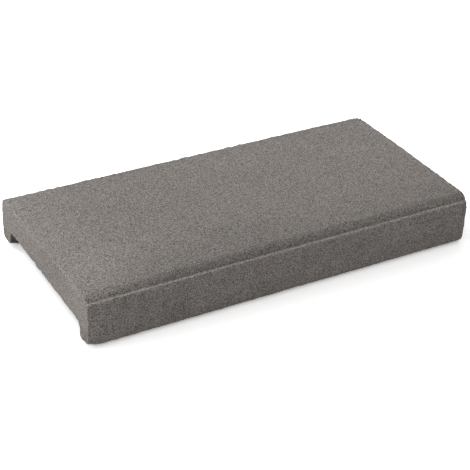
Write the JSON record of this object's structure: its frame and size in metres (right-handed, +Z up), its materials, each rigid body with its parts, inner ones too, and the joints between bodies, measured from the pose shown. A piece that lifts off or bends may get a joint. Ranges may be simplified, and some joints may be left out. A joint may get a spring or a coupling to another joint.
{
  "type": "wall coping",
  "caption": "Precast concrete wall coping with a U section: a flat, slightly falling top with rounded long edges, and two lips that hang over the wall.",
  "frame": {"origin": "on the ground under the middle of the unit, level with the feet of its two lips", "axes": "+X along the wall, +Y across the wall, +Z up"},
  "size_m": [0.5, 0.25, 0.066],
  "materials": {
    "concrete": "rough pressed concrete, warm dark grey, fine sandy grain with small pores"
  },
  "bodies": {
    "root": {"coping": "concrete"}
  },
  "joints": []
}
